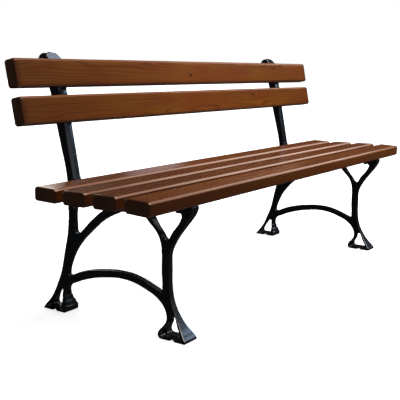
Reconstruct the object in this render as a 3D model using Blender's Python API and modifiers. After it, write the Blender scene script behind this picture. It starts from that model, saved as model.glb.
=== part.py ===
"""Garden bench: two cast side frames, four seat slats, two back slats and their coach screws.

Metres, +Z up. X runs along the bench, +Y is the rear, and the origin is the middle of the footprint on
the ground. The side frames are flat castings that stand in the YZ plane.
"""
import math

import bmesh
import bpy
from mathutils import Matrix

# Whole bench
LENGTH = 1.80                     # slats, end to end
FRAME_SPACING = 1.372             # centre plane to centre plane of the two castings
SEAT_HEIGHT = 0.4402              # top of the seat, midway between its two middle slats
GAP = 0.0003                      # clearance kept between pieces that touch

# Slats
SLAT_WIDTH = 0.083
SLAT_THICKNESS = 0.042
SLAT_EDGE_RADIUS = 0.005          # along the slat
SLAT_END_CHAMFER = 0.0012         # round its end faces
SEAT_PITCH = 0.1101               # spacing of the seat slats
SEAT_MIDDLE_Y = -0.0828           # midway between the second and third seat slats
REAR_TILT = math.radians(1.2)     # the first seat slat rises to the rear
MIDDLE_TILT = math.radians(-1.0)  # the second and third fall to the rear
FRONT_TILT = math.radians(2.5)    # the fourth falls to the front
BACK_ANGLE = math.radians(11.6)   # lean of the backrest
BACK_PITCH = 0.1087
BACK_UPPER_Y = 0.2042             # centre of the upper back slat
BACK_UPPER_Z = 0.7521

# Casting
RAIL_DEPTH = 0.0220               # seat rail, measured down from the slats
WEB_HALF = 0.0110                 # half thickness of the legs
FOOT_WEB_HALF = 0.0065            # half thickness of the web between the walls of a foot
CAST_REACH = 0.060                # half thickness of the blank that the side view is cut from
OUTLINE_STEPS = 4                 # straight pieces in each curved stretch of an outline
OVERLAP = 0.002                   # how far two shapes run into each other before they are joined
CUT_PAST = 0.010                  # how far a cutter runs out of the surface that it starts in

# Coach screws, M8
SHANK_RADIUS = 0.004
TIP_LENGTH = 0.008
TIP_RADIUS = 0.0036               # where the tip starts, inside the shank
TIP_END_RADIUS = 0.0006
HEAD_ACROSS_FLATS = 0.013
HEAD_HEIGHT = 0.0053
WASHER_RADIUS = 0.008
WASHER_THICKNESS = 0.0016
CLEARANCE_RADIUS = 0.0045         # hole through the casting
PILOT_RADIUS = SHANK_RADIUS + GAP
SPOT_RADIUS = 0.0095              # flat that is machined for the washer
SPOT_LENGTH = 0.016
BITE = 0.027                      # length of screw inside the slat

# Colours, roughness and metallic value of the three materials
PAINT = ("black_paint", (0.012, 0.013, 0.015), 0.28, 0.0)
VARNISHED_WOOD = ("varnished_wood", (0.185, 0.070, 0.026), 0.32, 0.0)
ZINC = ("zinc_plate", (0.55, 0.56, 0.57), 0.38, 1.0)

SEAT_BOTTOM = SEAT_HEIGHT - SLAT_THICKNESS
RAIL_TOP = SEAT_BOTTOM - GAP
RISE_START_Y = SEAT_MIDDLE_Y + 1.5 * SEAT_PITCH - SLAT_WIDTH / 2
FALL_START_Y = SEAT_MIDDLE_Y - 1.5 * SEAT_PITCH + SLAT_WIDTH / 2

# Rotations that stand a flat outline up: seen from the side (its x is Y) or from the front (its x is X)
SIDE_VIEW = Matrix(((0, 0, 1, 0), (1, 0, 0, 0), (0, 1, 0, 0), (0, 0, 0, 1)))
FRONT_VIEW = Matrix(((1, 0, 0, 0), (0, 0, -1, 0), (0, 1, 0, 0), (0, 0, 0, 1)))


def rail_z(y, depth=0.0):
    """Height of the seat rail's top at y, or of the line that runs depth below it."""
    bend = min(max(y, FALL_START_Y), RISE_START_Y)
    tilt = REAR_TILT if y > bend else FRONT_TILT
    return RAIL_TOP + (bend - SEAT_MIDDLE_Y) * math.tan(MIDDLE_TILT) + (y - bend) * math.tan(tilt) - depth


def upright_y(z):
    """Front face of the upright at height z, against the rear faces of the back slats."""
    rear = SLAT_THICKNESS / 2 + GAP
    face_y = BACK_UPPER_Y + rear * math.cos(BACK_ANGLE)
    face_z = BACK_UPPER_Z - rear * math.sin(BACK_ANGLE)
    return face_y + (z - face_z) * math.tan(BACK_ANGLE)


# The casting in side view. Each outline is a list of (y, z, corner): a corner is sharp, and the other
# points are joined by smooth curves.
def frame_outline():
    """Outer edge: up the front of the upright, down its rear, round the feet, and back along the rail."""
    upright = [(upright_y(0.410), 0.410, False), (upright_y(0.432), 0.432, True),
               (upright_y(0.785), 0.785, True)]
    scroll = [(0.2495, 0.8000, False), (0.2706, 0.8163, False), (0.2909, 0.7902, False),
              (0.2809, 0.7684, False), (0.2650, 0.7553, False), (0.2535, 0.7154, False)]
    rear_leg = [(0.2258, 0.5913, False), (0.2115, 0.5371, False), (0.1879, 0.4384, False),
                (0.1849, 0.3844, False), (0.1901, 0.3294, False), (0.1958, 0.2613, False),
                (0.2110, 0.1934, False), (0.2262, 0.1293, False), (0.2420, 0.0893, False),
                (0.2625, 0.0415, False), (0.2753, 0.0207, False), (0.2884, 0.0035, True)]
    rear_sole = [(0.2904, 0.0, True), (0.2479, 0.0, True), (0.2464, 0.0050, True),
                 (0.2341, 0.0050, True), (0.2327, 0.0, True), (0.1965, 0.0, True)]
    rear_toe = [(0.1916, 0.0050, False), (0.1905, 0.0171, False), (0.1974, 0.0329, False),
                (0.2052, 0.0502, False), (0.2052, 0.0724, False), (0.1966, 0.0864, False)]
    arch_under = [(0.1723, 0.0975, False), (0.1287, 0.1159, False), (0.0357, 0.1399, False),
                  (-0.0451, 0.1459, False), (-0.1137, 0.1311, False), (-0.1679, 0.1048, False),
                  (-0.1897, 0.0788, False), (-0.1950, 0.0506, False), (-0.1858, 0.0341, False)]
    front_sole = [(-0.1757, 0.0207, False), (-0.1757, 0.0086, False), (-0.1840, 0.0, True),
                  (-0.2193, 0.0, True), (-0.2203, 0.0050, True), (-0.2332, 0.0050, True),
                  (-0.2342, 0.0, True), (-0.2726, 0.0, True)]
    front_leg = [(-0.2749, 0.0029, False), (-0.2663, 0.0159, False), (-0.2501, 0.0358, False),
                 (-0.2303, 0.0652, False), (-0.2150, 0.0946, False), (-0.2040, 0.1337, False),
                 (-0.2006, 0.2025, False), (-0.2017, 0.2505, False), (-0.2154, 0.2828, False),
                 (-0.2505, 0.3327, False), (-0.2733, 0.3648, False), (-0.2839, 0.3866, False)]
    bends = (-0.2848, FALL_START_Y, RISE_START_Y, 0.1254)
    rail = [(y, rail_z(y), True) for y in bends] + [(0.1434, rail_z(0.1434), False)]
    return upright + scroll + rear_leg + rear_sole + rear_toe + arch_under + front_sole + front_leg + rail


def rear_window():
    """Triangle between the rear leg, the curved brace and the rail."""
    rail = [(y, rail_z(y, RAIL_DEPTH), False) for y in (-0.010, 0.027, 0.086, 0.153)]
    leg = [(0.1670, 0.3654, False), (0.1683, 0.3295, False), (0.1672, 0.2826, False),
           (0.1637, 0.2638, False), (0.1492, 0.2614, False)]
    brace = [(0.1359, 0.2723, False), (0.0979, 0.3089, False), (0.0553, 0.3417, False),
             (0.0169, 0.3615, False), (-0.0119, 0.3710, False)]
    return rail + leg + brace


def main_window():
    """Large opening between the brace, the front leg and the arch."""
    brace = [(0.1998, 0.1273, False), (0.1853, 0.1731, False), (0.1573, 0.2191, False),
             (0.0928, 0.2829, False), (0.0513, 0.3156, False), (-0.0148, 0.3485, False),
             (-0.0594, 0.3654, False)]
    branch = [(-0.0835, 0.3724, False), (-0.0977, 0.3693, False), (-0.1211, 0.3445, False),
              (-0.1316, 0.3322, False), (-0.1600, 0.3018, False), (-0.1708, 0.2770, False)]
    leg = [(-0.1740, 0.2513, False), (-0.1744, 0.1977, False), (-0.1769, 0.1484, False),
           (-0.1748, 0.1343, False), (-0.1672, 0.1337, False)]
    arch = [(-0.1536, 0.1384, False), (-0.0881, 0.1601, False), (-0.0386, 0.1673, False),
            (0.0533, 0.1609, False), (0.1436, 0.1398, False), (0.1904, 0.1201, False),
            (0.1982, 0.1197, False)]
    return brace + branch + leg + arch


def fork_window():
    """Triangle between the two branches of the front leg and the rail."""
    rear_branch = [(-0.1911, 0.2886, False), (-0.1685, 0.3115, False), (-0.1389, 0.3456, False),
                   (-0.1271, 0.3618, False), (-0.1277, 0.3741, False)]
    rail = [(y, rail_z(y, RAIL_DEPTH), False) for y in (-0.137, -0.179, -0.219, -0.238)]
    front_branch = [(-0.2478, 0.3705, False), (-0.2433, 0.3555, False), (-0.2103, 0.3133, False),
                    (-0.1964, 0.2910, False)]
    return rear_branch + rail + front_branch


def rear_foot_window():
    """Triangle in the rear foot, through the middle web."""
    return [(0.2254, 0.0700, False), (0.2464, 0.0510, False), (0.2624, 0.0290, False),
            (0.2709, 0.0150, False), (0.2644, 0.0100, False), (0.2235, 0.0100, False),
            (0.2149, 0.0140, False), (0.2186, 0.0400, False)]


def rear_foot_recess():
    """Hollow on each side of the rear foot's web, inside its flared edges and above its sole."""
    return [(0.2244, 0.0760, False), (0.2504, 0.0530, False), (0.2656, 0.0300, False),
            (0.2749, 0.0140, False), (0.2724, 0.0070, True), (0.2024, 0.0070, True),
            (0.2047, 0.0240, False), (0.2127, 0.0516, False)]


def front_foot_window():
    """Triangle in the front foot, through the middle web."""
    return [(-0.2148, 0.0660, False), (-0.2047, 0.0438, False), (-0.1950, 0.0266, False),
            (-0.1916, 0.0140, False), (-0.1999, 0.0100, False), (-0.2396, 0.0100, False),
            (-0.2481, 0.0130, False), (-0.2317, 0.0394, False)]


def front_foot_recess():
    """Hollow on each side of the front foot's web, inside its flared edges and above its sole."""
    return [(-0.2127, 0.0729, False), (-0.2014, 0.0441, False), (-0.1907, 0.0269, False),
            (-0.1856, 0.0140, False), (-0.1892, 0.0070, True), (-0.2596, 0.0070, True),
            (-0.2571, 0.0140, False), (-0.2380, 0.0395, False)]


# The casting in front view: height against half thickness
THICKNESS_STEPS = [(-0.010, 0.0310), (0.010, 0.0310), (0.018, 0.0290), (0.026, 0.0252), (0.035, 0.0212),
                   (0.049, 0.0172), (0.064, 0.0146), (0.078, 0.0130), (0.097, 0.0118), (0.121, WEB_HALF),
                   (0.321, WEB_HALF), (0.342, 0.0145), (0.367, 0.0185), (0.618, 0.0185), (0.697, 0.0210),
                   (0.756, 0.0260), (0.786, 0.0280), (0.800, 0.0270), (0.811, 0.0225), (0.817, 0.0150),
                   (0.8215, 0.0040)]


def clear_scene():
    """Remove every object that the starting scene holds."""
    for old in list(bpy.data.objects):
        bpy.data.objects.remove(old, do_unlink=True)


def new_collection(name):
    """Make a collection in the scene."""
    made = bpy.data.collections.new(name)
    bpy.context.scene.collection.children.link(made)
    return made


def new_material(name, colour, roughness, metallic):
    """Make a Principled material."""
    material = bpy.data.materials.new(name)
    material.use_nodes = True
    shader = material.node_tree.nodes["Principled BSDF"]
    shader.inputs["Base Color"].default_value = (*colour, 1.0)
    shader.inputs["Roughness"].default_value = roughness
    shader.inputs["Metallic"].default_value = metallic
    material.diffuse_color = (*colour, 1.0)
    return material


def add_object(name, mesh, collection, matrix=None):
    """Link a mesh as an object, placed by matrix."""
    made = bpy.data.objects.new(name, mesh)
    collection.objects.link(made)
    if matrix is not None:
        made.matrix_world = matrix
    return made


def evaluated_mesh(obj, name):
    """Mesh of an object with its modifiers or its curve settings applied, with loose caps welded."""
    bpy.context.view_layer.update()
    graph = bpy.context.evaluated_depsgraph_get()
    mesh = bpy.data.meshes.new_from_object(obj.evaluated_get(graph), depsgraph=graph)
    mesh.name = name
    bm = bmesh.new()
    bm.from_mesh(mesh)
    bmesh.ops.remove_doubles(bm, verts=bm.verts, dist=0.00001)
    bm.to_mesh(mesh)
    bm.free()
    return mesh


def outline_solid(name, outlines, half_depth, view, collection, steps=OUTLINE_STEPS):
    """Solid cut from a flat outline: the first outline is the edge and the others are holes."""
    curve = bpy.data.curves.new(name, "CURVE")
    curve.dimensions = "2D"
    curve.fill_mode = "BOTH"
    curve.extrude = half_depth
    curve.resolution_u = steps
    for outline in outlines:
        spline = curve.splines.new("BEZIER")
        spline.bezier_points.add(len(outline) - 1)
        spline.use_cyclic_u = True
        for point, (x, y, corner) in zip(spline.bezier_points, outline):
            point.co = (x, y, 0.0)
            handle = "VECTOR" if corner else "AUTO"
            point.handle_left_type = handle
            point.handle_right_type = handle
    drawn = bpy.data.objects.new(name, curve)
    collection.objects.link(drawn)
    drawn.matrix_world = view
    mesh = evaluated_mesh(drawn, name)
    bpy.data.objects.remove(drawn, do_unlink=True)
    return add_object(name, mesh, collection, view)


def make_cutter(obj):
    """Hide a cutter from renders and draw it as wire."""
    obj.hide_render = True
    obj.display_type = "WIRE"
    return obj


def add_boolean(obj, cutter, operation):
    """Add a Boolean modifier with the exact solver."""
    modifier = obj.modifiers.new(cutter.name, "BOOLEAN")
    modifier.object = cutter
    modifier.operation = operation
    modifier.solver = "EXACT"
    return modifier


def cylinder_mesh(name, radius, length, segments, tip=None):
    """Closed cylinder from z = 0 to z = length; tip narrows its upper end to that radius."""
    bm = bmesh.new()
    bmesh.ops.create_cone(bm, cap_ends=True, cap_tris=False, segments=segments, radius1=radius,
                          radius2=radius if tip is None else tip, depth=length)
    bmesh.ops.translate(bm, verts=bm.verts, vec=(0.0, 0.0, length / 2))
    mesh = bpy.data.meshes.new(name)
    bm.to_mesh(mesh)
    bm.free()
    return mesh


def smooth_by_angle(mesh, degrees=35.0):
    """Shade round surfaces smooth and keep the real edges sharp."""
    mesh.shade_smooth()
    mesh.set_sharp_from_angle(angle=math.radians(degrees))


def slat_places():
    """Node name and centre matrix of each slat; its local +Y is its width and +Z its outer face."""
    half_width = SLAT_WIDTH / 2
    half_pitch = SEAT_PITCH / 2
    seat = [(RISE_START_Y, half_width, REAR_TILT), (SEAT_MIDDLE_Y, half_pitch, MIDDLE_TILT),
            (SEAT_MIDDLE_Y, -half_pitch, MIDDLE_TILT), (FALL_START_Y, -half_width, FRONT_TILT)]
    places = []
    for number, (pivot_y, reach, tilt) in enumerate(seat, start=1):
        pivot = Matrix.Translation((0.0, pivot_y, rail_z(pivot_y) + GAP)) @ Matrix.Rotation(tilt, 4, "X")
        places.append((f"seat_slat_{number}", pivot @ Matrix.Translation((0.0, reach, SLAT_THICKNESS / 2))))
    lean = Matrix.Rotation(math.pi / 2 - BACK_ANGLE, 4, "X")
    upper = Matrix.Translation((0.0, BACK_UPPER_Y, BACK_UPPER_Z)) @ lean
    places.append(("back_slat_lower", upper @ Matrix.Translation((0.0, -BACK_PITCH, 0.0))))
    places.append(("back_slat_upper", upper))
    return places


# Screw of each slat: shift from the slat's centre line along its width, and casting under the washer
SCREW_SHIFT_AND_GRIP = {"seat_slat_1": (0.0, 0.0205), "seat_slat_2": (0.0, 0.0380),
                        "seat_slat_3": (-0.0150, 0.0205), "seat_slat_4": (0.0220, 0.0205),
                        "back_slat_lower": (0.0, 0.0240), "back_slat_upper": (-0.0050, 0.0240)}


def screw_matrix(slat_matrix, shift, x):
    """Axis of a screw: the origin is where it enters the slat, and +Z points into the slat."""
    return Matrix.Translation((x, 0.0, 0.0)) @ slat_matrix @ Matrix.Translation(
        (0.0, shift, -SLAT_THICKNESS / 2))


def casting_mesh(places, cutters):
    """Mesh of one casting about x = 0, bored for its screws."""
    outlines = [frame_outline(), rear_window(), main_window(), fork_window(), rear_foot_window(),
                front_foot_window()]
    casting = outline_solid("casting", outlines, CAST_REACH, SIDE_VIEW, cutters)
    right = [(half, z, False) for z, half in THICKNESS_STEPS]
    left = [(-half, z, False) for z, half in reversed(THICKNESS_STEPS)]
    ends = [right[0], right[-1], left[0], left[-1]]
    front = [(x, z, (x, z, False) in ends) for x, z, _ in right + left]
    tools = [(outline_solid("front_view", [front], 0.5, FRONT_VIEW, cutters, 1), "INTERSECT")]
    for name, outline in (("rear_recess", rear_foot_recess()), ("front_recess", front_foot_recess())):
        for side in (-1, 1):
            reach = (CAST_REACH - FOOT_WEB_HALF) / 2
            offset = Matrix.Translation((side * (FOOT_WEB_HALF + reach), 0.0, 0.0))
            recess = outline_solid(name, [outline], reach, SIDE_VIEW, cutters)
            recess.matrix_world = offset @ SIDE_VIEW
            tools.append((recess, "DIFFERENCE"))
    for name, matrix in places:
        shift, grip = SCREW_SHIFT_AND_GRIP[name]
        axis = screw_matrix(matrix, shift, 0.0)
        bore = cylinder_mesh("bore", CLEARANCE_RADIUS, grip + CUT_PAST, 16)
        spot = cylinder_mesh("spot_face", SPOT_RADIUS, SPOT_LENGTH, 20)
        below = Matrix.Translation((0.0, 0.0, -grip - GAP - CUT_PAST / 2))
        seat = Matrix.Translation((0.0, 0.0, -grip - GAP - SPOT_LENGTH))
        tools.append((add_object("bore", bore, cutters, axis @ below), "DIFFERENCE"))
        tools.append((add_object("spot_face", spot, cutters, axis @ seat), "DIFFERENCE"))
    for tool, operation in tools:
        add_boolean(casting, make_cutter(tool), operation)
    mesh = evaluated_mesh(casting, "side_frame")
    mesh.transform(SIDE_VIEW)
    bpy.data.objects.remove(casting, do_unlink=True)
    return mesh


def slat_mesh(name, shift, cutters):
    """Mesh of one slat about its own centre, with a blind pilot hole for each of its two screws."""
    bm = bmesh.new()
    bmesh.ops.create_cube(bm, size=1.0)
    bmesh.ops.scale(bm, verts=bm.verts, vec=(LENGTH, SLAT_WIDTH, SLAT_THICKNESS))
    along = [edge for edge in bm.edges if abs(edge.verts[0].co.x - edge.verts[1].co.x) > LENGTH / 2]
    bmesh.ops.bevel(bm, geom=along, offset=SLAT_EDGE_RADIUS, segments=3, profile=0.5, affect="EDGES")
    mesh = bpy.data.meshes.new(name)
    bm.to_mesh(mesh)
    bm.free()
    blank = add_object(name + "_blank", mesh, cutters)
    chamfer = blank.modifiers.new("end_chamfer", "BEVEL")
    chamfer.width = SLAT_END_CHAMFER
    chamfer.segments = 1
    chamfer.angle_limit = math.radians(60.0)
    for side in (-1, 1):
        depth = BITE + 2 * GAP
        hole = cylinder_mesh("pilot_hole", PILOT_RADIUS, depth + CUT_PAST, 16)
        place = Matrix.Translation((side * FRAME_SPACING / 2, shift, -SLAT_THICKNESS / 2 - CUT_PAST))
        add_boolean(blank, make_cutter(add_object("pilot_hole", hole, cutters, place)), "DIFFERENCE")
    result = evaluated_mesh(blank, name)
    bpy.data.objects.remove(blank, do_unlink=True)
    smooth_by_angle(result)
    return result


def screw_mesh(grip, cutters):
    """Coach screw: the hexagon head's bearing face is at z = 0, and the shank points to +Z."""
    head_radius = HEAD_ACROSS_FLATS / 2 / math.cos(math.pi / 6)
    shank_end = WASHER_THICKNESS + 2 * GAP + grip + BITE - TIP_LENGTH
    hexagon = cylinder_mesh("head", head_radius, HEAD_HEIGHT, 6)
    rod = cylinder_mesh("shank", SHANK_RADIUS, shank_end + OVERLAP, 16)
    point = cylinder_mesh("tip", TIP_RADIUS, TIP_LENGTH + 2 * OVERLAP, 16, TIP_END_RADIUS)
    head = add_object("head", hexagon, cutters, Matrix.Translation((0.0, 0.0, -HEAD_HEIGHT)))
    shank = add_object("shank", rod, cutters, Matrix.Translation((0.0, 0.0, -OVERLAP)))
    tip = add_object("tip", point, cutters, Matrix.Translation((0.0, 0.0, shank_end - 2 * OVERLAP)))
    add_boolean(head, make_cutter(shank), "UNION")
    add_boolean(head, make_cutter(tip), "UNION")
    mesh = evaluated_mesh(head, "coach_screw")
    mesh.transform(Matrix.Translation((0.0, 0.0, -HEAD_HEIGHT)))
    bpy.data.objects.remove(head, do_unlink=True)
    smooth_by_angle(mesh)
    return mesh


def washer_mesh(cutters):
    """Flat washer: a rectangle turned round the Z axis, standing on z = 0."""
    corners = [(WASHER_RADIUS, WASHER_THICKNESS), (WASHER_RADIUS, 0.0), (CLEARANCE_RADIUS, 0.0),
               (CLEARANCE_RADIUS, WASHER_THICKNESS)]
    bm = bmesh.new()
    ring = [bm.verts.new((x, 0.0, z)) for x, z in corners]
    for start, end in zip(ring, ring[1:] + ring[:1]):
        bm.edges.new((start, end))
    profile = bpy.data.meshes.new("washer_profile")
    bm.to_mesh(profile)
    bm.free()
    turned = add_object("washer_profile", profile, cutters)
    screw = turned.modifiers.new("turned", "SCREW")
    screw.steps = 20
    screw.render_steps = 20
    screw.use_merge_vertices = True
    screw.merge_threshold = 0.00001
    mesh = evaluated_mesh(turned, "washer")
    bpy.data.objects.remove(turned, do_unlink=True)
    smooth_by_angle(mesh)
    return mesh


def add_part(name, mesh, matrix, material, bench, root):
    """Add one named piece of the bench."""
    part = add_object(name, mesh, bench, matrix)
    part.parent = root
    part.matrix_world = matrix
    if not mesh.materials:
        mesh.materials.append(material)
    return part


def build():
    """Build the whole bench."""
    clear_scene()
    bench = new_collection("garden_bench")
    cutters = new_collection("cutters")
    paint, wood, zinc = [new_material(*values) for values in (PAINT, VARNISHED_WOOD, ZINC)]
    root = bpy.data.objects.new("bench_origin", None)
    bench.objects.link(root)
    places = slat_places()
    sides = (("left", -FRAME_SPACING / 2), ("right", FRAME_SPACING / 2))

    casting = casting_mesh(places, cutters)
    smooth_by_angle(casting)
    for side, x in sides:
        add_part(f"side_frame_{side}", casting, Matrix.Translation((x, 0.0, 0.0)), paint, bench, root)

    washer = washer_mesh(cutters)
    for name, matrix in places:
        shift, grip = SCREW_SHIFT_AND_GRIP[name]
        add_part(name, slat_mesh(name, shift, cutters), matrix, wood, bench, root)
        screw = screw_mesh(grip, cutters)
        for side, x in sides:
            axis = screw_matrix(matrix, shift, x)
            washer_base = axis @ Matrix.Translation((0.0, 0.0, -2 * GAP - grip - WASHER_THICKNESS))
            head_seat = washer_base @ Matrix.Translation((0.0, 0.0, -GAP))
            short = name.replace("_slat", "")
            add_part(f"{short}_washer_{side}", washer, washer_base, zinc, bench, root)
            add_part(f"{short}_screw_{side}", screw, head_seat, zinc, bench, root)


build()
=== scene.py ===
"""Looks of the garden bench: stained wooden slats, painted castings, coach screws, studio and camera.

Metres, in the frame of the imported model: X runs along the bench, +Y is the rear, +Z is up. The slats',
castings' and screws' places and sizes are read from the model's nodes. The finer shaping, which the CAD
model doesn't have, is set by the values below.
"""
import math

import bmesh
import bpy
from mathutils import Matrix, Vector, noise


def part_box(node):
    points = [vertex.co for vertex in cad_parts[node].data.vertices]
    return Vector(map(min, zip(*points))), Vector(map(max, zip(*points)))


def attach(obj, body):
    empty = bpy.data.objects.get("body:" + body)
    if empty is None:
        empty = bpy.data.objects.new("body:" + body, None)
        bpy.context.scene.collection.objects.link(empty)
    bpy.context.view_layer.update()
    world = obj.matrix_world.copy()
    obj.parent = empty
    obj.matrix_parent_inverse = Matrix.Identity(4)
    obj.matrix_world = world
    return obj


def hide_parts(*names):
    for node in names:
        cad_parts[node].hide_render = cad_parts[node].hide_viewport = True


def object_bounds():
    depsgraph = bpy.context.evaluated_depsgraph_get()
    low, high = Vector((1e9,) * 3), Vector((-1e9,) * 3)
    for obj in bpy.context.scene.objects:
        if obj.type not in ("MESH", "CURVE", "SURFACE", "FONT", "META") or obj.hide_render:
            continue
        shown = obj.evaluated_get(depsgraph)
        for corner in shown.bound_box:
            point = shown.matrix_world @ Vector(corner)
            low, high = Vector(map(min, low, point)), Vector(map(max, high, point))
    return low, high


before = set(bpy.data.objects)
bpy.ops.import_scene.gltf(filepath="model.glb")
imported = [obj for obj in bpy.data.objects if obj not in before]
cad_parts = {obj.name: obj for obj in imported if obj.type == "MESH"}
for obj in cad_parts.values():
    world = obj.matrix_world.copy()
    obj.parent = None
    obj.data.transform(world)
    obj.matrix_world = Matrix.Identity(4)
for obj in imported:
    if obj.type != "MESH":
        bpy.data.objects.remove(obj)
CAD_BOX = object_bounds()

# Camera
CAMERA_AZIMUTH = math.radians(55.81)   # from +Y towards +X
CAMERA_PITCH = math.radians(10.21)     # downwards
CAMERA_ROLL = math.radians(0.75)
CAMERA_DISTANCE = 2.7628               # from the point it looks at
CAMERA_AIM = Vector((-0.0956, 0.1026, -0.1199))   # that point, from the middle of the bench
CAMERA_LENS = 66.77                    # mm, on a sensor 36 mm wide
SENSOR_WIDTH = 36.0

# Wooden slats
ARRIS_LEG = 0.0058                     # chamfered long edges, measured along a face
ARRIS_RADIUS = 0.0028                  # where a chamfer runs into the faces
END_RADIUS = 0.0048                    # edges round the end faces
ARRIS_TAPER = 0.4                      # how fast a chamfer gets smaller where an end face's edge is rounded
ARRIS_STEPS = 3
END_STEPS = 5
FLAT_STEPS = (6, 3)                    # faces across a slat's width and across its thickness
STATION_STEP = 0.015                   # length of the mesh's faces along a slat
SLAT_WAVE = 0.00022                    # unevenness of the planed faces
SLAT_SINK = 1.6                        # how many waves deep the faces lie on average
FACE_WAVES = (7.0, 22.0, 40.0)         # waves per metre along, across and through a slat
ARRIS_WAVE = 0.0008                    # unevenness of the sanded edges
ARRIS_WAVES = 5.0                      # its waves per metre
SEED_STEP = 7.3                        # keeps the slats' waves apart
SLAT_SHARP = math.radians(40.0)

# Castings
SECTION_OFFSET = 0.0102                # from the middle of a casting: past its washers' flats, in its legs
WEB_OFFSET = 0.0056                    # from the middle of a casting: past its bores, in its feet's webs
CORNER_ANGLE = math.radians(24.0)      # an outline turns more than this only at a real corner
STRAIGHT_ANGLE = math.radians(0.35)    # and less than this only where it goes straight on
CURVE_STEPS = 5                        # faces from one point of an outline to the next
FOOT_HEIGHT = 0.09
FOOT_WEB_TOP = 0.07                    # the webs' flat sides have their middles below this height
SLICE_HEIGHT = 0.006                   # of the slices in which a casting's thickness is measured
BLANK_HALF = 0.060                     # half thickness of the blank that the side view is cut from
CUTTER_HALF = 0.5                      # half depth of the solid that the front view is cut with
BELOW_GROUND = 0.010                   # how far that solid runs below the feet
VOXEL = 0.0015
SMOOTH_FACTOR = 0.5
SMOOTHING = 11
CASTING_SHARP = math.radians(50.0)

SPOT_RADIUS = 0.0095                   # flat that is machined for a washer
SPOT_LENGTH = 0.016
BORE_RADIUS = 0.0045
BORE_LENGTH = 0.045
WASHER_GAP = 0.0003                    # between a washer and its flat
CIRCLE_STEPS = 32

CROWN = 0.0018                         # how far the upright's front falls away at its sides
CROWN_DEPTH = (0.001, 0.014)           # behind the front face, over which the crown fades out
UPRIGHT_HALF = 0.0185                  # half width of the upright, below the scroll
UPRIGHT_START = 0.02                   # the upright is shaped from here below the rear slat's top
SEAT_FADE = (0.006, 0.004)             # below and above that top, over which the crown starts
PAD_FADE = (0.005, 0.003)              # outside and inside a back slat's edge, over which it ends

REAR_TOE = (0.1409, 0.0689)            # front and rear of the rear foot's front toe, before the bench's rear
REAR_TOE_FADE = 0.010                  # over which its curl and its widening fade out at the rear
TOE_STEPS = (0.050, 0.035, 0.020)      # heights of the steps across that toe
TOE_STEPS_ABOVE = 0.004                # the steps' shaping starts this far above the highest one
TOE_STEP_DEPTH = 0.0030
TOE_STEP_LIP = (0.0010, 0.0014)        # above and below a step's height, over which it stands out
TOE_STEP_FOOT = (0.0135, 0.0020)       # below a step's height, over which it fades
TOE_FACING = (0.2, 0.6)                # how far a face turns to the front where the steps start and are full
TOE_WRAP = 0.0070                      # how far the toe curls back at its sides
TOE_SPREAD = 0.0050                    # how much wider it is made at each side
TOE_HALF = 0.026                       # half width at which both are reached
TOE_WRAP_BOTTOM = (0.002, 0.020)       # heights over which they start
TOE_WRAP_TOP = (0.088, 0.052)          # and fade out

SCROLL_DROP = 0.0303                   # below the casting's top, where the scroll starts
SCROLL_SMOOTHING = 22
SCROLL_BLEND = (0.006, 0.008)          # below and above its start, over which it is smoothed more
SCROLL_SPREAD = 0.09                   # how much wider it is made, as a share of its thickness
SCROLL_SPREAD_BLEND = (0.004, 0.006)   # below and above its start, over which it is widened

# Coach screws and washers
SCREW_BEVEL = 0.00045
WASHER_BEVEL = 0.0002
BEVEL_ANGLE = math.radians(40.0)

# Distances within which points are merged
MESH_WELD = 0.000005
CAD_WELD = 0.000002
FASTENER_WELD = 0.00001

SEAT_SLATS = [f"seat_slat_{number}" for number in (1, 2, 3, 4)]
BACK_SLATS = ["back_slat_lower", "back_slat_upper"]
SIDES = ("left", "right")
SEAT_OUT = Vector((0.0, 0.0, 1.0))     # roughly where a seat slat's used face turns to
BACK_OUT = Vector((0.0, -1.0, 0.2)).normalized()

# Pattern seed, strength of the stain, and knots (x, y, radius) of each slat
SLAT_LOOKS = {
    "seat_slat_1": (1.0, 1.00, [(0.64, 0.037, 0.008), (-0.31, -0.012, 0.005)]),
    "seat_slat_2": (2.0, 0.92, [(0.12, 0.021, 0.006)]),
    "seat_slat_3": (3.0, 0.95, [(-0.573, 0.038, 0.004), (0.155, 0.038, 0.005)]),
    "seat_slat_4": (4.0, 1.05, [(-0.18, 0.008, 0.006), (0.71, -0.018, 0.005)]),
    "back_slat_lower": (5.0, 0.95, [(0.38, 0.015, 0.006)]),
    "back_slat_upper": (6.0, 1.00, [(-0.05, -0.010, 0.007), (0.60, 0.020, 0.005)]),
}

# Patterns of the wood: repeats per metre along, across and through a slat
DRIFT = (1.1, 7.0, 7.0)                # slow bends of the growth rings
FIBRE = (9.0, 620.0, 620.0)
STREAK = (2.6, 95.0, 95.0)
PATCH = (5.0, 19.0, 19.0)
BLOTCH = (2.2, 9.0, 9.0)
PORE = (42.0, 1500.0, 1500.0)
RIPPLE = (7.0, 30.0, 30.0)             # unevenness of the planed faces
RING_SPACING = 0.0047
RING_BEND = 0.060                      # how far the rings bend
KNOT_STRETCH = 1.5                     # length of a knot, against its width

# Colours of the wood; the first five are multiplied by the stain's strength
RED_STAIN = (0.222, 0.054, 0.0062)
AMBER_STAIN = (0.235, 0.073, 0.0056)
DARK_STAIN = (0.062, 0.0170, 0.0040)   # on late wood, streaks and fibres
BLOTCH_STAIN = (0.095, 0.030, 0.011)
LEFT_END_SHADE = (0.060, 0.0170, 0.0045)   # painted shade towards the left end of every slat
PORE_COLOUR = (0.030, 0.010, 0.005)
# painted shade along the front edge of the seat slats and the lower edge of the back slats
EDGE_SHADE_COLOUR = (0.030, 0.0080, 0.0024)
SOAKED_COLOUR = (0.044, 0.0115, 0.0036)
# painted highlight on the chamfered arrises
ARRIS_HIGHLIGHT_COLOUR = (0.330, 0.135, 0.070)
KNOT_COLOUR = (0.034, 0.010, 0.004)
END_COLOUR = (0.075, 0.0240, 0.0050)
WOOD_TINT = (1.0, 0.82, 0.74)          # of reflections in the varnish

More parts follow.
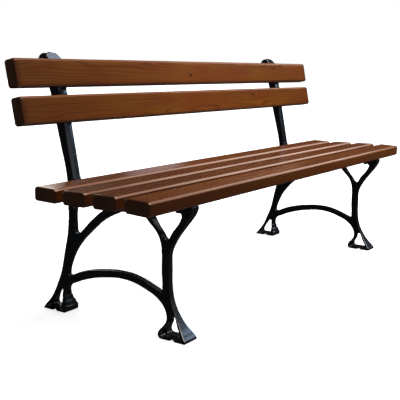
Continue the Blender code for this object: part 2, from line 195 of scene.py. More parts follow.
# Colours of the castings, the screws and the washers
PAINT_THICK = (0.0035, 0.0042, 0.0046)
PAINT_THIN = (0.0062, 0.0070, 0.0080)
DUST_COLOUR = (0.060, 0.056, 0.050)
ZINC_DARK = (0.50, 0.51, 0.52)
ZINC_PALE = (0.62, 0.62, 0.61)
ZINC_CLOUD = (0.38, 0.38, 0.37)
RUST_COLOUR = (0.16, 0.065, 0.028)

# Studio
FLOOR_GLOW = 0.74                      # keeps the bench's shadow faint
SKY_ON_MATT = (0.150, 0.155, 0.170)    # light of the surroundings on matt surfaces
SKY_ON_GLOSS = (0.028, 0.030, 0.034)   # and in reflections
MAIN_FROM = (0.38, -0.50, 0.82)        # direction of the main light
MAIN_STRENGTH = 3.65
MAIN_COLOUR = (1.0, 0.97, 0.93)
MAIN_SPREAD = math.radians(40.0)
MAIN_DISTANCE = 5.0
FLOOR_HALF = 30.0
CLIP_END = 200.0

# Name, direction from the middle of the bench, distance, width and height, brightness, colour, and the
# group of objects that the softbox reaches, or None for all of them
SOFTBOXES = [
    ("right_key", (0.83, -0.11, 0.52), 3.6, (1.3, 1.7), 3.6, (1.0, 0.91, 0.84), "wood and floor"),
    ("rear_fill", (0.25, 0.92, 0.35), 3.6, (2.4, 1.6), 2.6, (1.0, 0.92, 0.83), None),
    ("toe_light", (0.800, -0.460, 0.385), 3.60, (1.15, 1.1), 4.1, (0.44, 0.68, 1.0), "castings"),
    ("upright_light", (0.42, -0.88, 0.15), 3.6, (1.8, 1.6), 0.5, (0.88, 0.93, 1.0), "castings"),
    ("scroll_light", (0.522, 0.104, 0.848), 3.35, (1.7, 1.3), 2.7, (0.60, 0.77, 1.0), "castings"),
    ("ledge_light", (0.638, -0.294, 0.713), 2.65, (0.9, 0.9), 1.0, (0.86, 0.93, 1.0), "castings"),
    ("rear_sheen", (0.54, 0.50, 0.15), 3.3, (0.42, 0.45), 0.75, (1.0, 0.86, 0.94), "rear slat"),
]
LIGHT_GROUPS = {
    "wood and floor": [f"{slat}_wood" for slat in SEAT_SLATS + BACK_SLATS] + ["studio_floor"],
    "castings": [f"side_frame_{side}_casting" for side in SIDES],
    "rear slat": ["seat_slat_1_wood"],
}


# ---------------------------------------------------------------- node helpers

def rgba(colour, strength=1.0):
    """An opaque colour, multiplied by strength."""
    return (*(value * strength for value in colour), 1.0)


class Graph:
    """Adds nodes to a material and links them."""

    def __init__(self, name):
        self.material = bpy.data.materials.new(name)
        self.material.use_nodes = True
        self.tree = self.material.node_tree
        self.shader = self.tree.nodes["Principled BSDF"]

    def put(self, socket, value):
        """Link a socket to value if that is an output, or else set it to value."""
        if isinstance(value, bpy.types.NodeSocket):
            self.tree.links.new(value, socket)
        else:
            socket.default_value = value

    def add(self, kind, inputs=None, **settings):
        """Add a node and return it."""
        node = self.tree.nodes.new(kind)
        for name, value in settings.items():
            setattr(node, name, value)
        for key, value in (inputs or {}).items():
            self.put(node.inputs[key], value)
        return node

    def math(self, operation, *values):
        """Math node's output."""
        return self.add("ShaderNodeMath", dict(enumerate(values)), operation=operation).outputs[0]

    def length(self, first, second):
        """Length of a vector with those two components."""
        squares = [self.math("MULTIPLY", value, value) for value in (first, second)]
        return self.math("SQRT", self.math("ADD", *squares))

    def noise(self, coords, scale, detail=2.0, roughness=0.5):
        """Noise texture's value."""
        values = {"Vector": coords, "Scale": scale, "Detail": detail, "Roughness": roughness}
        return self.add("ShaderNodeTexNoise", values).outputs["Fac"]

    def stretch(self, coords, scale, offset=(0.0, 0.0, 0.0)):
        """Coordinates scaled along each axis, then shifted."""
        node = self.add("ShaderNodeMapping", {"Vector": coords, "Scale": scale, "Location": offset})
        return node.outputs[0]

    def span(self, value, low, high, to_low=0.0, to_high=1.0):
        """Value mapped from low..high onto to_low..to_high, smoothly and without overshoot."""
        node = self.add("ShaderNodeMapRange", {"Value": value, "From Min": low, "From Max": high,
                                               "To Min": to_low, "To Max": to_high},
                        interpolation_type="SMOOTHSTEP", clamp=True)
        return node.outputs[0]

    def mix(self, factor, first, second):
        """Mix of two colours."""
        node = self.add("ShaderNodeMix", data_type="RGBA")
        self.put(node.inputs[0], factor)
        self.put(node.inputs[6], first)
        self.put(node.inputs[7], second)
        return node.outputs[2]

    def bump(self, height, distance, strength=1.0, normal=None):
        """Bump node's normal."""
        values = {"Height": height, "Distance": distance, "Strength": strength}
        if normal is not None:
            values["Normal"] = normal
        return self.add("ShaderNodeBump", values).outputs[0]

    def finish(self, **sockets):
        """Set the Principled shader's sockets; an underscore in a name stands for a space."""
        for name, value in sockets.items():
            self.put(self.shader.inputs[name.replace("_", " ")], value)
        return self.material


# ---------------------------------------------------------------- materials

def growth_rings(graph, place, axes, seed, shift, knots):
    """Masks of the dark late wood in each growth ring and of the knots, which the rings bend round."""
    drift = graph.noise(graph.stretch(place, DRIFT, shift), 1.0, 3.0, 0.55)
    swirl = graph.math("MULTIPLY", graph.math("SUBTRACT", drift, 0.5), RING_BEND)
    knot_mask = 0.0
    for knot_x, knot_y, radius in knots:
        along = graph.math("DIVIDE", graph.math("SUBTRACT", axes[0], knot_x), KNOT_STRETCH)
        across = graph.math("SUBTRACT", axes[1], knot_y)
        reach = graph.length(along, across)
        mask = graph.span(reach, radius * 1.15, radius * 0.55)
        pull = graph.span(reach, radius * 5.0, radius * 0.8, 0.0, radius * 1.6)
        swirl = graph.math("ADD", swirl, pull)
        knot_mask = graph.math("MAXIMUM", knot_mask, mask)

    pith_y = 0.045 * math.sin(seed * 2.3)
    pith_z = -0.055 - 0.02 * math.cos(seed * 1.9)
    half_swirl = graph.math("MULTIPLY", swirl, 0.5)
    ring_y = graph.math("ADD", graph.math("SUBTRACT", axes[1], pith_y), half_swirl)
    ring_z = graph.math("ADD", graph.math("SUBTRACT", axes[2], pith_z), swirl)
    phase = graph.math("FRACT", graph.math("DIVIDE", graph.length(ring_y, ring_z), RING_SPACING))
    late_wood = graph.math("MULTIPLY", graph.span(phase, 0.35, 0.86), graph.span(phase, 1.0, 0.90))
    return late_wood, knot_mask


def wood_material(name, seed, tint, knots):
    """Stained and varnished softwood: growth rings round a pith below the slat, fibres, and knots.

    seed moves the pattern, tint is the stain's strength, and knots is a list of (x, y, radius) in the
    slat's own coordinates, with x along it and y across it.
    """
    graph = Graph(name)
    place = graph.add("ShaderNodeTexCoord").outputs["Object"]
    axes = graph.add("ShaderNodeSeparateXYZ", {0: place}).outputs
    shift = (seed * 1.7, seed * 0.83, seed * 0.41)
    late_wood, knot_mask = growth_rings(graph, place, axes, seed, shift, knots)
    fibre = graph.noise(graph.stretch(place, FIBRE, shift), 1.0, 4.0, 0.6)
    streak = graph.noise(graph.stretch(place, STREAK, shift), 1.0, 3.0, 0.6)
    patch = graph.noise(graph.stretch(place, PATCH, shift), 1.0, 2.0, 0.5)
    blotch = graph.noise(graph.stretch(place, BLOTCH, shift), 1.0, 1.0, 0.5)
    pores = graph.span(graph.noise(graph.stretch(place, PORE, shift), 1.0, 1.0), 0.66, 0.74)

    # The stain and how the wood took it, then painted shade towards the left end
    dark = rgba(DARK_STAIN, tint)
    stain = graph.mix(graph.span(patch, 0.36, 0.64), rgba(RED_STAIN, tint), rgba(AMBER_STAIN, tint))
    stain = graph.mix(graph.math("MULTIPLY", late_wood, 0.40), stain, dark)
    stain = graph.mix(graph.span(streak, 0.52, 0.80, 0.0, 0.50), stain, dark)
    stain = graph.mix(graph.span(fibre, 0.50, 0.80, 0.0, 0.16), stain, dark)
    stain = graph.mix(graph.span(blotch, 0.34, 0.66, 0.0, 0.22), stain, rgba(BLOTCH_STAIN, tint))
    stain = graph.mix(graph.math("MULTIPLY", pores, 0.16), stain, rgba(PORE_COLOUR))
    # Painted shade: darker towards the left end of every slat
    left_shade = graph.span(axes[0], -0.05, -0.90, 0.0, 0.60)
    stain = graph.mix(left_shade, stain, rgba(LEFT_END_SHADE, tint))

    # Painted shade along the front or lower edge, ragged soaked ends, painted highlight on the arrises,
    # knots and end grain
    # Painted shade: darker along the slat's front or lower edge, more so towards its left end
    edge = graph.span(axes[1], -0.0325, -0.0395, 0.0, 0.75)
    edge_shade = graph.math("MULTIPLY", edge, graph.span(axes[0], 0.65, -0.75, 0.35, 1.0))
    stain = graph.mix(edge_shade, stain, rgba(EDGE_SHADE_COLOUR))
    ragged = graph.math("ADD", graph.math("ABSOLUTE", axes[0]), graph.math("MULTIPLY", fibre, 0.010))
    stain = graph.mix(graph.span(ragged, 0.880, 0.902, 0.0, 0.72), stain, rgba(SOAKED_COLOUR))
    arris = graph.add("ShaderNodeAttribute", attribute_name="arris").outputs["Fac"]
    # Painted highlight: the arrises are drawn paler, in streaks
    arris_highlight = graph.math("MULTIPLY", arris, graph.span(streak, 0.25, 0.62, 0.60, 0.30))
    stain = graph.mix(arris_highlight, stain, rgba(ARRIS_HIGHLIGHT_COLOUR))
    stain = graph.mix(graph.math("MULTIPLY", knot_mask, 0.85), stain, rgba(KNOT_COLOUR))
    end = graph.add("ShaderNodeAttribute", attribute_name="end_grain").outputs["Fac"]
    stain = graph.mix(graph.math("MULTIPLY", end, 0.70), stain, rgba(END_COLOUR))

    rough = graph.span(fibre, 0.30, 0.75, 0.22, 0.31)
    rough = graph.math("ADD", rough, graph.math("MULTIPLY", late_wood, -0.03))
    rough = graph.math("ADD", rough, graph.math("MULTIPLY", end, 0.20))
    ridges = graph.math("MULTIPLY", late_wood, 0.3)
    grain = graph.bump(graph.math("ADD", graph.math("MULTIPLY", streak, 0.8), ridges), 0.00010, 0.30)
    ripple = graph.noise(graph.stretch(place, RIPPLE, shift), 1.0, 1.0)
    relief = graph.bump(ripple, 0.0007, 0.30, grain)
    return graph.finish(Base_Color=stain, Roughness=rough, Normal=relief, IOR=1.5,
                        Specular_Tint=rgba(WOOD_TINT))


def paint_material():
    """Black gloss paint over a sand casting's grainy skin, dusty near the ground and dull at the soles."""
    graph = Graph("black_paint_finish")
    place = graph.add("ShaderNodeTexCoord").outputs["Object"]
    height = graph.add("ShaderNodeSeparateXYZ", {0: place}).outputs[2]
    sand = graph.noise(place, 620.0, 3.0, 0.6)
    peel = graph.noise(place, 130.0, 2.0, 0.5)
    sag = graph.noise(graph.stretch(place, (30.0, 30.0, 9.0)), 1.0, 2.0, 0.5)
    dust = graph.span(graph.noise(place, 34.0, 4.0, 0.6), 0.48, 0.80)
    low = graph.span(height, 0.16, 0.0)
    grime = graph.math("MULTIPLY", dust, graph.math("MULTIPLY_ADD", low, 0.30, 0.05))
    colour = graph.mix(graph.span(sag, 0.35, 0.65), rgba(PAINT_THICK), rgba(PAINT_THIN))
    colour = graph.mix(grime, colour, rgba(DUST_COLOUR))
    rough = graph.math("ADD", graph.span(peel, 0.3, 0.7, 0.20, 0.30), graph.math("MULTIPLY", grime, 0.5))
    skin = graph.bump(sand, 0.00008, 0.30)
    skin = graph.bump(peel, 0.00016, 0.25, skin)
    skin = graph.bump(sag, 0.0006, 0.20, skin)
    shine = graph.span(height, 0.004, 0.009)
    return graph.finish(Base_Color=colour, Roughness=rough, Normal=skin, IOR=1.5,
                        Specular_IOR_Level=graph.math("MULTIPLY", shine, 0.5),
                        Coat_Weight=graph.math("MULTIPLY", shine, 0.35), Coat_Roughness=0.12)


def zinc_material():
    """Dull zinc plate with a faint spangle, and a little rust where water sits."""
    graph = Graph("zinc_plate_finish")
    place = graph.add("ShaderNodeTexCoord").outputs["Object"]
    cells = graph.add("ShaderNodeTexVoronoi", {"Vector": place, "Scale": 900.0}).outputs["Distance"]
    cloud = graph.noise(place, 260.0, 3.0, 0.6)
    rust = graph.span(graph.noise(place, 150.0, 5.0, 0.65), 0.60, 0.74)
    colour = graph.mix(graph.span(cells, 0.1, 0.7), rgba(ZINC_DARK), rgba(ZINC_PALE))
    colour = graph.mix(graph.span(cloud, 0.4, 0.7, 0.0, 0.35), colour, rgba(ZINC_CLOUD))
    colour = graph.mix(graph.math("MULTIPLY", rust, 0.45), colour, rgba(RUST_COLOUR))
    rough = graph.math("ADD", graph.span(cloud, 0.3, 0.7, 0.34, 0.50), graph.math("MULTIPLY", rust, 0.25))
    metal = graph.math("SUBTRACT", 1.0, graph.math("MULTIPLY", rust, 0.6))
    return graph.finish(Base_Color=colour, Roughness=rough, Metallic=metal,
                        Normal=graph.bump(cloud, 0.0002, 0.5))


# ---------------------------------------------------------------- mesh helpers

def new_object(name, mesh, matrix=None):
    """Link a mesh as an object, placed by matrix."""
    made = bpy.data.objects.new(name, mesh)
    bpy.context.scene.collection.objects.link(made)
    if matrix is not None:
        made.matrix_world = matrix
    return made


def evaluated_mesh(obj, name):
    """Mesh of an object with its modifiers or curve settings applied, welded; the object is removed."""
    bpy.context.view_layer.update()
    graph = bpy.context.evaluated_depsgraph_get()
    mesh = bpy.data.meshes.new_from_object(obj.evaluated_get(graph), depsgraph=graph)
    mesh.name = name
    bm = bmesh.new()
    bm.from_mesh(mesh)
    bmesh.ops.remove_doubles(bm, verts=bm.verts, dist=MESH_WELD)
    bm.to_mesh(mesh)
    bm.free()
    bpy.data.objects.remove(obj, do_unlink=True)
    return mesh


def welded(node):
    """The mesh of a CAD node as a bmesh whose faces share their points."""
    bm = bmesh.new()
    bm.from_mesh(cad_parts[node].data)
    bmesh.ops.remove_doubles(bm, verts=bm.verts, dist=CAD_WELD)
    return bm


# ---------------------------------------------------------------- slats

def slat_frame(node):
    """Matrix and size of a slat: local X along it, Y across its width, Z out of the face that is used."""
    outer_hint = SEAT_OUT if node in SEAT_SLATS else BACK_OUT
    bm = welded(node)
    facing = [face for face in bm.faces if face.normal.dot(outer_hint) > 0.9]
    outer = max(facing, key=lambda face: face.calc_area()).normal.copy()
    along = Vector((1.0, 0.0, 0.0))
    across = outer.cross(along)
    turn = Matrix((along, across, outer)).transposed()
    local = [turn.transposed() @ vert.co for vert in bm.verts]
    bm.free()
    low = Vector([min(point[axis] for point in local) for axis in range(3)])
    high = Vector([max(point[axis] for point in local) for axis in range(3)])
    return Matrix.Translation(turn @ ((low + high) / 2)) @ turn.to_4x4(), high - low


def chamfered_corner(number, half_width, half_height, leg):
    """Points of one corner of a slat's section, anticlockwise, each with how far it is into the corner."""
    first = Vector((math.cos(number * math.pi / 2), math.sin(number * math.pi / 2)))
    second = Vector((-first.y, first.x))
    reach, rise = (half_width, half_height) if number % 2 == 0 else (half_height, half_width)
    inner = leg + ARRIS_RADIUS * (math.sqrt(2.0) - 1.0)
    corner = []
    for start, u, v in ((0, reach - ARRIS_RADIUS, rise - inner), (1, reach - inner, rise - ARRIS_RADIUS)):
        for step in range(ARRIS_STEPS + 1):
            angle = (start + step / ARRIS_STEPS) * math.pi / 4
            along = u + ARRIS_RADIUS * math.cos(angle)
            up = v + ARRIS_RADIUS * math.sin(angle)
            corner.append((*(first * along + second * up), math.sin(2.0 * angle)))
    return corner


def chamfered_ring(half_width, half_height, leg):
    """Points of a rectangle with softened chamfers, anticlockwise, each with how far it is into a corner."""
    corners = [chamfered_corner(number, half_width, half_height, leg) for number in range(4)]
    ring = []
    for number, corner in enumerate(corners):
        ring += corner
        last = Vector(corner[-1][:2])
        following = Vector(corners[(number + 1) % 4][0][:2])
        steps = FLAT_STEPS[number % 2]
        ring += [(*last.lerp(following, step / steps), 0.0) for step in range(1, steps)]
    return ring


def slat_stations(half_length):
    """Places of the cross-sections along a slat, each with how far the section is drawn in there."""
    reach = half_length - END_RADIUS
    end = []
    for step in range(END_STEPS + 1):
        angle = 0.5 * math.pi * step / END_STEPS
        end.append((reach + END_RADIUS * math.sin(angle), END_RADIUS * (1.0 - math.cos(angle))))
    count = round(2 * reach / STATION_STEP)
    middle = [(-reach + 2 * reach * step / count, 0.0) for step in range(1, count)]
    return [(-x, inset) for x, inset in reversed(end)] + middle + end


def slat_mesh(name, size, seed):
    """A slat with chamfered edges and faces that are not quite flat, about its own middle."""
    half = size / 2
    bm = bmesh.new()
    arris = bm.verts.layers.float.new("arris")
    end_grain = bm.verts.layers.float.new("end_grain")
    rings = []
    for x, inset in slat_stations(half.x):
        leg = ARRIS_LEG + ARRIS_WAVE * noise.noise((x * ARRIS_WAVES, seed * SEED_STEP, 0.0))
        ring = []
        for y, z, corner in chamfered_ring(half.y - inset, half.z - inset, leg - ARRIS_TAPER * inset):
            wave = noise.noise((x * FACE_WAVES[0], y * FACE_WAVES[1] + seed, z * FACE_WAVES[2]))
            sink = SLAT_WAVE * (SLAT_SINK + wave)
            vert = bm.verts.new((x, y * (1.0 - sink / half.y), z * (1.0 - sink / half.z)))
            vert[arris] = corner
            vert[end_grain] = inset / END_RADIUS
            ring.append(vert)
        rings.append(ring)
    for first, second in zip(rings, rings[1:]):
        for index, vert in enumerate(first):
            following = (index + 1) % len(first)
            bm.faces.new((vert, first[following], second[following], second[index]))
    bm.faces.new(list(reversed(rings[0])))
    bm.faces.new(rings[-1])
    bmesh.ops.recalc_face_normals(bm, faces=bm.faces)
    mesh = bpy.data.meshes.new(name)
    bm.to_mesh(mesh)
    bm.free()
    mesh.shade_smooth()
    mesh.set_sharp_from_angle(angle=SLAT_SHARP)
    return mesh


# ---------------------------------------------------------------- castings

def section(node, x):
    """Closed outlines, as lists of (y, z), along which the plane at x cuts a CAD node."""
    bm = welded(node)
    cut = bmesh.ops.bisect_plane(bm, geom=bm.verts[:] + bm.edges[:] + bm.faces[:], dist=0.0000001,
                                 plane_co=(x, 0.0, 0.0), plane_no=(1.0, 0.0, 0.0))["geom_cut"]
    neighbours = {}
    for edge in cut:
        if isinstance(edge, bmesh.types.BMEdge):
            first, second = edge.verts
            neighbours.setdefault(first, []).append(second)
            neighbours.setdefault(second, []).append(first)
    outlines = []
    left = set(neighbours)
    while left:
        start = min(left, key=lambda vert: vert.index)
        loop = [start]
        left.discard(start)
        step = next((vert for vert in neighbours[start] if vert in left), None)
        while step is not None:
            loop.append(step)
            left.discard(step)
            step = next((vert for vert in neighbours[step] if vert in left), None)
        outlines.append([(vert.co.y, vert.co.z) for vert in loop])
    bm.free()
    return outlines


def turn_at(before, point, after):
    """Angle that an outline turns at a point."""
    first = Vector(point) - Vector(before)
    second = Vector(after) - Vector(point)
    if first.length < 0.00001 or second.length < 0.00001:
        return 0.0
    return first.angle(second)


def without_straight_points(outline):
    """The outline without the points at which it goes straight on."""
    kept = []
    count = len(outline)
    for index, point in enumerate(outline):
        before = kept[-1] if kept else outline[index - 1]
        if turn_at(before, point, outline[(index + 1) % count]) > STRAIGHT_ANGLE:
            kept.append(point)
    return kept


def area(outline):
    """Area inside an outline."""
    pairs = zip(outline, outline[1:] + outline[:1])
    return abs(sum(first[0] * second[1] - second[0] * first[1] for first, second in pairs)) / 2


def outline_solid(name, outlines, half_depth, to_world):
    """Solid inside the first outline and outside the others, smooth but for its corners."""
    curve = bpy.data.curves.new(name, "CURVE")
    curve.dimensions = "2D"
    curve.fill_mode = "BOTH"
    curve.extrude = half_depth
    curve.resolution_u = CURVE_STEPS
    for outline in outlines:
        spline = curve.splines.new("BEZIER")
        spline.bezier_points.add(len(outline) - 1)
        spline.use_cyclic_u = True
        for index, point in enumerate(spline.bezier_points):
            after = outline[(index + 1) % len(outline)]
            turn = turn_at(outline[index - 1], outline[index], after)
            point.co = (*outline[index], 0.0)
            handle = "VECTOR" if turn > CORNER_ANGLE else "AUTO"
            point.handle_left_type = handle
            point.handle_right_type = handle
    drawn = bpy.data.objects.new(name, curve)
    bpy.context.scene.collection.objects.link(drawn)
    mesh = evaluated_mesh(drawn, name)
    mesh.transform(to_world)
    return new_object(name, mesh)


# These turn an outline drawn in a curve's own X and Y into Y and Z, or X and Z, of the bench
SIDE_VIEW = Matrix(((0, 0, 1, 0), (1, 0, 0, 0), (0, 1, 0, 0), (0, 0, 0, 1)))
FRONT_VIEW = Matrix(((1, 0, 0, 0), (0, 0, -1, 0), (0, 1, 0, 0), (0, 0, 0, 1)))


def combine(obj, cutter, operation):
    """Apply an exact Boolean to an object's mesh and remove the cutter."""
    modifier = obj.modifiers.new("boolean", "BOOLEAN")
    modifier.object = cutter
    modifier.operation = operation
    modifier.solver = "EXACT"
    name = obj.name
    mesh = evaluated_mesh(obj, name)
    bpy.data.objects.remove(cutter, do_unlink=True)
    return new_object(name, mesh)


def front_outline(node, centre):
    """Outline of a casting from the front, by the greatest thickness in each slice of its height."""
    slices = {}
    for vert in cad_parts[node].data.vertices:
        half = abs(vert.co.x - centre)
        key = round(vert.co.z / SLICE_HEIGHT)
        if half > slices.get(key, (0.0, 0.0))[0]:
            slices[key] = (half, vert.co.z)
    # A slice that is thinner than the legs has only points of a washer's flat in it
    sides = [point for point in slices.values() if point[0] > SECTION_OFFSET]
    sides.sort(key=lambda point: point[1])
    foot = sides[0][0]
    mirrored = [(-half, z) for half, z in reversed(sides)]
    return [(foot, -BELOW_GROUND)] + sides + mirrored + [(-foot, -BELOW_GROUND)]


def web_half_thickness(node, centre):
    """Half thickness of the web between the walls of the feet."""
    bm = welded(node)
    middles = [face.calc_center_median() for face in bm.faces if abs(face.normal.x) > 0.999]
    bm.free()
    return min(abs(middle.x - centre) for middle in middles if middle.z < FOOT_WEB_TOP)


def ease(value, start, end):
    """0 up to start, 1 from end on, and smooth between them; start may be the larger of the two."""
    share = min(max((value - start) / (end - start), 0.0), 1.0)
    return share * share * (3.0 - 2.0 * share)


def scroll_share(z, blend):
    """How far a height is into the scroll, with the change spread over blend below and above its start."""
    start = CAD_BOX[1].z - SCROLL_DROP
    return ease(z, start - blend[0], start + blend[1])


def crown_share(z, depth, pads, seat_top):
    """How far the upright's front is crowned: fully at its face, and not where a slat rests on it."""
    share = 1.0 - ease(depth, *CROWN_DEPTH)
    for low, high in pads:
        above_low = ease(z, low - PAD_FADE[0], low + PAD_FADE[1])
        above_high = ease(z, high - PAD_FADE[1], high + PAD_FADE[0])
        share *= 1.0 - above_low * (1.0 - above_high)
    return share * ease(z, seat_top - SEAT_FADE[0], seat_top + SEAT_FADE[1])


def shape_rear_toe(vert, normal):
    """Step the front toe of the rear foot, curl it back at its sides and widen it."""
    x, y, z = vert.co
    if normal.y < -TOE_FACING[0] and z < TOE_STEPS[0] + TOE_STEPS_ABOVE:
        out = 0.0
        for top in TOE_STEPS:
            lip = ease(z, top + TOE_STEP_LIP[0], top - TOE_STEP_LIP[1])
            out += lip * ease(z, top - TOE_STEP_FOOT[0], top - TOE_STEP_FOOT[1])
        vert.co += TOE_STEP_DEPTH * ease(-normal.y, *TOE_FACING) * (out - 0.5) * normal
    rear = CAD_BOX[1].y - REAR_TOE[1]
    share = ease(z, *TOE_WRAP_TOP) * ease(z, *TOE_WRAP_BOTTOM) * ease(y, rear, rear - REAR_TOE_FADE)
    side = x / TOE_HALF
    vert.co.y += TOE_WRAP * share * side * side
    vert.co.x += TOE_SPREAD * share * side


def shape_casting(mesh):
    """Crown the upright between its slats, widen the scroll and shape the rear toe, inside the CAD box."""
    matrix, size = slat_frame("back_slat_upper")
    pads = [[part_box(node)[end].z for end in (0, 1)] for node in BACK_SLATS]
    seat_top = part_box("seat_slat_1")[1].z
    face = matrix @ Vector((0.0, 0.0, -size.z / 2))
    slope = matrix.col[1].y / matrix.col[1].z
    toe_front, toe_rear = (CAD_BOX[1].y - distance for distance in REAR_TOE)
    for vert, normal in zip(mesh.vertices, [item.vector.copy() for item in mesh.vertex_normals]):
        x, y, z = vert.co
        if z > seat_top - UPRIGHT_START:
            depth = y - face.y - (z - face.z) * slope
            vert.co.y += CROWN * crown_share(z, depth, pads, seat_top) * (x / UPRIGHT_HALF) ** 2
            vert.co.x += SCROLL_SPREAD * scroll_share(z, SCROLL_SPREAD_BLEND) * x
        elif toe_front < y < toe_rear and z < FOOT_HEIGHT:
            shape_rear_toe(vert, normal)
        vert.co.y = min(max(vert.co.y, CAD_BOX[0].y), CAD_BOX[1].y)
        vert.co.z = min(max(vert.co.z, CAD_BOX[0].z), CAD_BOX[1].z)


def spot_cutter(washer, slat):
    """Solid that machines one washer's flat and the bore beyond it, about the casting's own middle."""
    low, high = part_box(washer)
    middle = (low + high) / 2
    axis = slat_frame(slat)[0].col[2].to_3d()
    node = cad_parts[washer]
    reach = max((node.matrix_world @ vert.co - middle).dot(axis) for vert in node.data.vertices)
    seat = Vector((0.0, middle.y, middle.z)) + (reach + WASHER_GAP) * axis
    profile = [(SPOT_RADIUS, -SPOT_LENGTH), (SPOT_RADIUS, 0.0)]
    profile += [(BORE_RADIUS, 0.0), (BORE_RADIUS, BORE_LENGTH)]
    angles = [2 * math.pi * step / CIRCLE_STEPS for step in range(CIRCLE_STEPS)]
    bm = bmesh.new()
    rings = [[bm.verts.new((radius * math.cos(angle), radius * math.sin(angle), height)) for angle in angles]
             for radius, height in profile]
    for first, second in zip(rings, rings[1:]):
        for index in range(CIRCLE_STEPS):
            following = (index + 1) % CIRCLE_STEPS
            bm.faces.new((first[index], first[following], second[following], second[index]))
    bm.faces.new(list(reversed(rings[0])))
    bm.faces.new(rings[-1])
    bm.transform(Matrix.Translation(seat) @ axis.to_track_quat("Z", "X").to_matrix().to_4x4())
    return bm


def spot_cutters():
    """Cutters of all six screws of a casting as one object."""
    whole = bmesh.new()
    for slat in SEAT_SLATS + BACK_SLATS:
        short = slat.replace("_slat", "")
        one = spot_cutter(f"{short}_washer_left", slat)
        piece = bpy.data.meshes.new("spot_cutter")
        one.to_mesh(piece)
        one.free()
        whole.from_mesh(piece)
    mesh = bpy.data.meshes.new("spot_cutters")
    whole.to_mesh(mesh)
    whole.free()
    return new_object("spot_cutters", mesh)


def casting_blank(node, centre):
    """The casting about x = 0 with smooth outlines but sharp edges: its walls, and the webs of its feet."""
    legs = [without_straight_points(outline) for outline in section(node, centre + SECTION_OFFSET)]
    legs.sort(key=area, reverse=True)
    webs = [without_straight_points(outline) for outline in section(node, centre + WEB_OFFSET)]
    foot_windows = [outline for outline in webs if max(z for _, z in outline) < FOOT_HEIGHT]
    windows = [outline for outline in legs if max(z for _, z in outline) >= FOOT_HEIGHT]

    walls = outline_solid("casting", legs, BLANK_HALF, SIDE_VIEW)
    front = outline_solid("front_view", [front_outline(node, centre)], CUTTER_HALF, FRONT_VIEW)
    walls = combine(walls, front, "INTERSECT")
    web = outline_solid("web", windows + foot_windows, web_half_thickness(node, centre), SIDE_VIEW)
    bm = bmesh.new()
    for used in (walls, web):
        bm.from_mesh(used.data)
        bpy.data.objects.remove(used, do_unlink=True)
    whole = bpy.data.meshes.new("casting")
    bm.to_mesh(whole)
    bm.free()
    return new_object("casting", whole)


def smooth(casting, iterations, group=""):
    """Add a smoothing modifier, to the whole casting or to a vertex group."""
    modifier = casting.modifiers.new("smooth", "SMOOTH")
    modifier.factor = SMOOTH_FACTOR
    modifier.iterations = iterations
    modifier.vertex_group = group


def casting_mesh(node, centre):
    """The finished casting about x = 0, with rounded edges, a softer scroll, flats and a stepped toe."""
    casting = casting_blank(node, centre)
    remesh = casting.modifiers.new("remesh", "REMESH")
    remesh.mode = "VOXEL"
    remesh.voxel_size = VOXEL
    smooth(casting, SMOOTHING)
    mesh = evaluated_mesh(casting, "casting")
    casting = new_object("casting", mesh)
    scroll = casting.vertex_groups.new(name="scroll")
    for vert in mesh.vertices:
        share = scroll_share(vert.co.z, SCROLL_BLEND)
        if share > 0.0:
            scroll.add([vert.index], share, "REPLACE")
    smooth(casting, SCROLL_SMOOTHING, scroll.name)
    mesh = evaluated_mesh(casting, "casting")
    shape_casting(mesh)
    drilled = combine(new_object("casting", mesh), spot_cutters(), "DIFFERENCE")
    mesh = drilled.data
    bpy.data.objects.remove(drilled, do_unlink=True)
    mesh.shade_smooth()
    mesh.set_sharp_from_angle(angle=CASTING_SHARP)
    return mesh


# ---------------------------------------------------------------- studio

def place_light(light, aim, direction, distance):
    """Add a light at a distance from aim in that direction, turned to it."""
    away = Vector(direction).normalized()
    made = bpy.data.objects.new(light.name, light)
    bpy.context.scene.collection.objects.link(made)
    made.location = aim + distance * away
    made.rotation_mode = "QUATERNION"
    made.rotation_quaternion = (-away).to_track_quat("-Z", "Y")
    made.visible_camera = False
    return made


def softbox(name, aim, direction, distance, size, brightness, colour):
    """Rectangular light whose face has that brightness."""
    light = bpy.data.lights.new(name, "AREA")
    light.shape = "RECTANGLE"
    light.size, light.size_y = size
    light.energy = brightness * math.pi * size[0] * size[1]
    light.color = colour
    return place_light(light, aim, direction, distance)


def light_only(light, names):
    """Let a light reach the named objects alone."""
    lit = bpy.data.collections.new(f"{light.name}_on")
    for name in names:
        lit.objects.link(bpy.data.objects[name])
    light.light_linking.receiver_collection = lit


def surroundings():
    """Plain pale world: white to the camera, dim on matt surfaces and dimmer in reflections."""
    world = bpy.data.worlds.new("studio")
    bpy.context.scene.world = world
    world.use_nodes = True
    tree = world.node_tree
    path = tree.nodes.new("ShaderNodeLightPath")
    seen = rgba(SKY_ON_MATT)
    for ray, colour in (("Is Glossy Ray", SKY_ON_GLOSS), ("Is Camera Ray", (1.0, 1.0, 1.0))):
        mix = tree.nodes.new("ShaderNodeMix")
        mix.data_type = "RGBA"
        tree.links.new(path.outputs[ray], mix.inputs[0])
        if isinstance(seen, bpy.types.NodeSocket):
            tree.links.new(seen, mix.inputs[6])
        else:
            mix.inputs[6].default_value = seen
        mix.inputs[7].default_value = rgba(colour)
        seen = mix.outputs[2]
    tree.links.new(seen, tree.nodes["Background"].inputs["Color"])


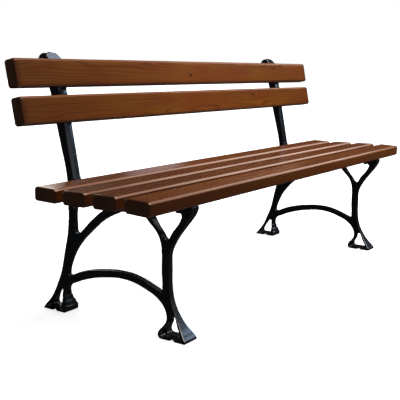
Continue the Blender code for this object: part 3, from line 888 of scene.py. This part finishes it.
def studio():
    """Pale floor, plain pale surroundings and soft lights."""
    bpy.context.scene.view_settings.view_transform = "Standard"
    surroundings()
    bm = bmesh.new()
    bmesh.ops.create_grid(bm, x_segments=8, y_segments=8, size=FLOOR_HALF)
    mesh = bpy.data.meshes.new("studio_floor")
    bm.to_mesh(mesh)
    bm.free()
    floor = new_object("studio_floor", mesh, Matrix.Translation((0.0, 0.0, CAD_BOX[0].z)))
    graph = Graph("studio_floor")
    place = graph.add("ShaderNodeTexCoord").outputs["Object"]
    tone = graph.span(graph.noise(place, 3.0), 0.3, 0.7, 0.93, 0.95)
    floor.data.materials.append(graph.finish(Base_Color=tone, Roughness=0.9, Specular_IOR_Level=0.0,
                                             Emission_Color=rgba((1.0, 1.0, 1.0)),
                                             Emission_Strength=FLOOR_GLOW))
    floor.visible_glossy = False
    floor.visible_diffuse = False

    middle = (CAD_BOX[0] + CAD_BOX[1]) / 2
    main = bpy.data.lights.new("main", "SUN")
    main.energy = MAIN_STRENGTH
    main.angle = MAIN_SPREAD
    main.color = MAIN_COLOUR
    place_light(main, middle, MAIN_FROM, MAIN_DISTANCE)
    for name, direction, distance, size, brightness, colour, group in SOFTBOXES:
        made = softbox(name, middle, direction, distance, size, brightness, colour)
        if group is not None:
            light_only(made, LIGHT_GROUPS[group])


def camera():
    """Camera at the azimuth and pitch above, level but for its roll."""
    forward = Vector((math.sin(CAMERA_AZIMUTH) * math.cos(CAMERA_PITCH),
                      math.cos(CAMERA_AZIMUTH) * math.cos(CAMERA_PITCH), -math.sin(CAMERA_PITCH)))
    level = Vector((math.cos(CAMERA_AZIMUTH), -math.sin(CAMERA_AZIMUTH), 0.0))
    up = level.cross(forward)
    right = level * math.cos(CAMERA_ROLL) + up * math.sin(CAMERA_ROLL)
    up = right.cross(forward)
    data = bpy.data.cameras.new("camera")
    data.sensor_width = SENSOR_WIDTH
    data.lens = CAMERA_LENS
    data.clip_end = CLIP_END
    made = bpy.data.objects.new("camera", data)
    bpy.context.scene.collection.objects.link(made)
    aim = (CAD_BOX[0] + CAD_BOX[1]) / 2 + CAMERA_AIM
    turn = Matrix((right, up, -forward)).transposed().to_4x4()
    made.matrix_world = Matrix.Translation(aim - CAMERA_DISTANCE * forward) @ turn
    bpy.context.scene.camera = made


# ---------------------------------------------------------------- the bench

def build_slats():
    """Stand a finished slat in for each CAD slat."""
    for number, node in enumerate(SEAT_SLATS + BACK_SLATS, start=1):
        matrix, size = slat_frame(node)
        slat = new_object(f"{node}_wood", slat_mesh(node, size, number), matrix)
        seed, tint, knots = SLAT_LOOKS[node]
        slat.data.materials.append(wood_material(f"varnished_wood_{number}", seed, tint, knots))
        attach(slat, "root")
        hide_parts(node)


def build_castings():
    """Stand a finished casting in for each CAD side frame; both come from one pattern."""
    paint = paint_material()
    mesh = None
    for side in SIDES:
        node = f"side_frame_{side}"
        low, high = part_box(node)
        centre = (low.x + high.x) / 2
        if mesh is None:
            mesh = casting_mesh(node, centre)
            mesh.materials.append(paint)
        casting = new_object(f"{node}_casting", mesh, Matrix.Translation((centre, 0.0, 0.0)))
        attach(casting, "root")
        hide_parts(node)


def finish_fasteners():
    """Give the coach screws and washers their zinc and soften their edges."""
    zinc = zinc_material()
    for name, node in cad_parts.items():
        if "_screw_" in name or "_washer_" in name:
            node.data.materials.clear()
            node.data.materials.append(zinc)
            weld = node.modifiers.new("weld", "WELD")
            weld.merge_threshold = FASTENER_WELD
            bevel = node.modifiers.new("soft_edges", "BEVEL")
            bevel.width = SCREW_BEVEL if "_screw_" in name else WASHER_BEVEL
            bevel.segments = 2
            bevel.angle_limit = BEVEL_ANGLE


build_slats()
build_castings()
finish_fasteners()
studio()
camera()
